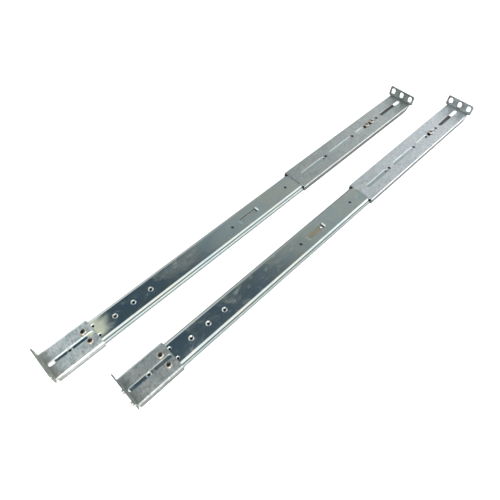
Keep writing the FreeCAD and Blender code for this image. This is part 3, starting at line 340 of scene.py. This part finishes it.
for side, seed in (("left", 0.0), ("right", 41.3)):
    ox, cy = (-349.4, 40.1) if side == "left" else (-305.0, -39.7)
    end = 650.0 if side == "left" else 654.4
    # centres of the holes in the outer web, where the members below get painted shade spots
    under = [(ox + x, cy) for x in (26.8, 84.1, 109.0, 133.6, 265.3, 366.6, 451.4, end - 66.8, end - 130.2, end - 194.7)]
    under += [(ox + 59.6, cy + 7.2), (ox + 59.6, cy - 7.2)]
    heads = [(ox + 47.6, cy + 7.2), (ox + 47.6, cy - 7.2)]
    heads += [(ox + x, cy) for x in ((557.5, 570.2) if side == "left" else (572.7,))]
    web = blue_zinc(side + "_channel_zinc", seed, cy, [(ox + 265.3, cy), (ox + 366.6, cy)], 1.0, (-299.0, 40.1) if side == "left" else None)
    # the third argument scales each bracket's tones, and its different values on the left and right copies of the same
    # bracket are painted light and shade; the ninth argument sets the strength of the painted shade beside the front
    # flange
    front = satin_zinc(side + "_front_zinc", seed + 1.5, 0.98 if side == "left" else 0.60, 0.45, 0.80, 0.35, ox, 1.0, 0.75 if side == "left" else 0.35)
    rear = satin_zinc(side + "_rear_zinc", seed + 6.5, 0.53 if side == "left" else 0.66, 0.12, 0.42, 0.36,
                      ox + end, -1.0, 0.0, [(ox + end - b, cy) for b in (66.8, 130.2, 194.7)],
                      (1.0, 1.0, 1.0) if side == "left" else (1.0, 0.985, 1.04))
    member = bright_zinc(side + "_member_zinc", seed, hole_shade_spots=under)
    chassis = bright_zinc(side + "_chassis_zinc", seed + 8.0, (0.62, 0.66, 0.67), 0.30)
    strip = strip_steel(side + "_retainer_strip", seed, under)
    balls = ball_steel(side + "_ball_steel")
    screw = screw_metal(side + "_screw_nickel", seed, heads)
    turned = turned_steel(side + "_turned_steel", seed)
    plastic = moulded(side + "_acetal", seed)
    for node, mat in (("outer_member", web), ("front_bracket", front), ("rear_bracket", rear),
                      ("front_bracket_screws", screw), ("rear_bracket_screws", screw), ("rack_inserts", turned),
                      ("middle_member", member), ("inner_member", chassis),
                      ("outer_ball_retainer", strip), ("inner_ball_retainer", strip),
                      ("outer_balls", balls), ("inner_balls", balls),
                      ("rear_bumper", plastic), ("middle_bumper", plastic), ("middle_bumper_rivet", turned),
                      ("release_lever", plastic), ("lever_rivet", turned)):
        if side + "_" + node in nodes:
            wear(nodes[side + "_" + node], mat)


# ------------------------------------------------------------------ floor
me = bpy.data.meshes.new("floor")
half = 6.0
me.from_pydata([(-half, -half, -0.0002), (half, -half, -0.0002), (half, half, -0.0002), (-half, half, -0.0002)], [],
               [(0, 1, 2, 3)])
floor = bpy.data.objects.new("floor", me)
bpy.context.scene.collection.objects.link(floor)
m = Tree("paper_floor")
paper = m.noise(3.0, 4, 0.6)
# painted light: camera rays see an evenly white glowing floor, but reflected and bounced rays see a darker floor whose
# glow is painted brightest near the front ends of the rails and fades towards the back
eye = m.t.nodes.new("ShaderNodeLightPath").outputs["Is Camera Ray"]
white = m.mix(m.span(paper, 0.3, 0.7), (0.90, 0.90, 0.90), (0.93, 0.93, 0.93))
m.set(Base_Color=m.mix(eye, (0.34, 0.33, 0.32), white), Roughness=0.9, Normal=m.bump(paper, 0.02, 0.0001))
glow = m.ramp(m.span(m.parts(m.mm)[0], -360.0, 0.0), [(0.0, 0.60), (0.12, 0.42), (0.28, 0.22), (0.50, 0.12), (1.0, 0.08)])
m.link(m.mix(eye, glow, (1.0, 1.0, 1.0)), m.bsdf.inputs["Emission Color"])
m.bsdf.inputs["Emission Strength"].default_value = 0.60
me.materials.append(m.mat)


# ------------------------------------------------------------------ studio
def direction(azimuth, elevation):
    a, e = math.radians(azimuth), math.radians(elevation)
    return Vector((math.cos(e) * math.cos(a), math.cos(e) * math.sin(a), math.sin(e)))


world = bpy.data.worlds.new("studio")
bpy.context.scene.world = world
world.use_nodes = True
wt = world.node_tree
for n in list(wt.nodes):
    wt.nodes.remove(n)
wout = wt.nodes.new("ShaderNodeOutputWorld")
bg = wt.nodes.new("ShaderNodeBackground")
tc = wt.nodes.new("ShaderNodeTexCoord")
sep = wt.nodes.new("ShaderNodeSeparateXYZ")
wt.links.new(tc.outputs["Generated"], sep.inputs[0])


def wmath(op, a, b=0.0, c=None, clamp=False):
    n = wt.nodes.new("ShaderNodeMath")
    n.operation = op
    n.use_clamp = clamp
    for i, v in enumerate((a, b, c)):
        if v is None:
            continue
        if isinstance(v, (int, float)):
            n.inputs[i].default_value = v
        else:
            wt.links.new(v, n.inputs[i])
    return n.outputs[0]


def wstep(v, a, b):
    """0 below a, 1 above b, smooth between."""
    n = wt.nodes.new("ShaderNodeMapRange")
    n.clamp = True
    n.interpolation_type = "SMOOTHSTEP"
    wt.links.new(v, n.inputs["Value"])
    n.inputs["From Min"].default_value = a
    n.inputs["From Max"].default_value = b
    return n.outputs[0]


def wmix(fac, a, b):
    n = wt.nodes.new("ShaderNodeMix")
    n.data_type = "RGBA"
    n.clamp_factor = True
    for v, i in ((fac, 0), (a, 6), (b, 7)):
        if isinstance(v, tuple):
            n.inputs[i].default_value = v + (1.0,)
        elif isinstance(v, float):
            n.inputs[i].default_value = v
        else:
            wt.links.new(v, n.inputs[i])
    return n.outputs[2]


# brightness of the room by height: white walls low down, a greyer ceiling
lift = wt.nodes.new("ShaderNodeValToRGB")
wt.links.new(sep.outputs[2], lift.inputs[0])
r = lift.color_ramp
r.elements[0].position = 0.0
r.elements[0].color = (1.5, 1.5, 1.48, 1)
r.elements[1].position = 1.0
r.elements[1].color = (1.1, 1.1, 1.08, 1)
for pos, c in ((0.32, (1.45, 1.47, 1.46)), (0.46, (1.38, 1.41, 1.41)), (0.55, (1.25, 1.30, 1.31)), (0.59, (0.85, 0.89, 0.89)),
               (0.63, (0.62, 0.66, 0.66)), (0.68, (0.49, 0.53, 0.51)),
               (0.80, (0.46, 0.50, 0.47)), (0.90, (0.70, 0.73, 0.72))):
    e = r.elements.new(pos)
    e.color = tuple(c) + (1.0,)
# where a ray meets the ceiling, one unit up
up = wmath("MAXIMUM", sep.outputs[2], 0.02)
cu = wmath("DIVIDE", sep.outputs[0], up)
cv = wmath("DIVIDE", sep.outputs[1], up)
slant = wmath("ADD", cu, wmath("MULTIPLY", cv, 0.86))
# white walls on the camera's side
near = wmath("MULTIPLY", wstep(wmath("MULTIPLY", sep.outputs[1], -1.0), 0.25, 0.55), wstep(sep.outputs[2], 0.85, 0.70))
room = wmix(near, lift.outputs[0], (1.52, 1.44, 1.32))
# a bright panel over the camera's side, a grey one behind, and the dark one between them
lit = wmath("MULTIPLY", wstep(wmath("MULTIPLY", cv, -1.0), -0.08, 0.07), wstep(slant, 1.2, 0.9))
room = wmix(lit, room, (1.22, 1.18, 0.98))
room = wmix(wmath("MULTIPLY", lit, wstep(wmath("MULTIPLY", cv, -1.0), 0.26, 0.42)), room, (1.48, 1.46, 1.38))
back = wmath("MULTIPLY", wstep(cv, 0.62, 0.76), wstep(slant, 2.4, 1.6))
back = wmath("MULTIPLY", back, wstep(sep.outputs[0], 0.02, 0.17))
room = wmix(back, room, (0.26, 0.29, 0.29))
wall = wmath("MULTIPLY", wstep(sep.outputs[1], 0.46, 0.60), wstep(cv, 0.9, 1.3))
shade = wt.nodes.new("ShaderNodeValToRGB")
wt.links.new(sep.outputs[0], shade.inputs[0])
sr = shade.color_ramp
sr.elements[0].position = 0.02
sr.elements[0].color = (1.42, 1.44, 1.44, 1)
sr.elements[1].position = 0.62
sr.elements[1].color = (0.45, 0.49, 0.48, 1)
for pos, c in ((0.10, (1.15, 1.18, 1.17)), (0.19, (0.84, 0.88, 0.87)), (0.30, (0.74, 0.78, 0.76)), (0.42, (0.55, 0.59, 0.58))):
    e = sr.elements.new(pos)
    e.color = tuple(c) + (1.0,)
room = wmix(wall, room, shade.outputs[0])
dark = wmath("MULTIPLY", wstep(slant, 0.95, 0.81), wstep(cu, -0.27, -0.14))
dark = wmath("MULTIPLY", dark, wmath("MULTIPLY", wstep(cv, 0.14, 0.28), wstep(cv, 1.10, 0.70)))
room = wmix(dark, room, (0.050, 0.092, 0.128))
wt.links.new(room, bg.inputs[0])
bg.inputs[1].default_value = 1.0
wt.links.new(bg.outputs[0], wout.inputs[0])


def softbox(name, place, target, size, power, colour=(1, 1, 1)):
    lamp = bpy.data.lights.new(name, "AREA")
    lamp.shape = "RECTANGLE"
    lamp.size, lamp.size_y = size
    lamp.energy = power
    lamp.color = colour
    o = bpy.data.objects.new(name, lamp)
    o.location = place
    o.rotation_euler = (Vector(target) - Vector(place)).to_track_quat("-Z", "Y").to_euler()
    bpy.context.scene.collection.objects.link(o)
    return o


softbox("key_softbox", (-0.9, -1.1, 1.5), (0, 0, 0), (1.0, 1.0), 12.0)
softbox("side_softbox", (1.4, -0.9, 0.7), (0.1, 0, 0), (0.8, 0.8), 6.0)

# ------------------------------------------------------------------ camera
F_PX = 412.655
fwd = Vector((0.404525, 0.388666, -0.827832)).normalized()
roll = math.radians(1.8939)
right0 = Vector((0.692833, -0.721102, 0.0))
up0 = Vector((0.596951, 0.573549, 0.560981))
x_axis = math.cos(roll) * right0 + math.sin(roll) * up0
y_axis = -math.sin(roll) * right0 + math.cos(roll) * up0
cam = bpy.data.cameras.new("camera")
cam.sensor_width = 36.0
cam.sensor_fit = "HORIZONTAL"
cam.lens = F_PX * 36.0 / 500.0
cam.clip_start = 0.01
cam.clip_end = 50.0
cam_obj = bpy.data.objects.new("camera", cam)
rot = Matrix((x_axis, y_axis, -fwd)).transposed()
cam_obj.matrix_world = Matrix.Translation((-0.302487, -0.202727, 0.438823)) @ rot.to_4x4()
bpy.context.scene.collection.objects.link(cam_obj)
bpy.context.scene.camera = cam_obj

bpy.context.scene.view_settings.view_transform = "Standard"
bpy.context.scene.view_settings.look = "None"
bpy.context.scene.view_settings.exposure = 0.0
bpy.context.scene.view_settings.gamma = 1.0

bpy.context.view_layer.update()
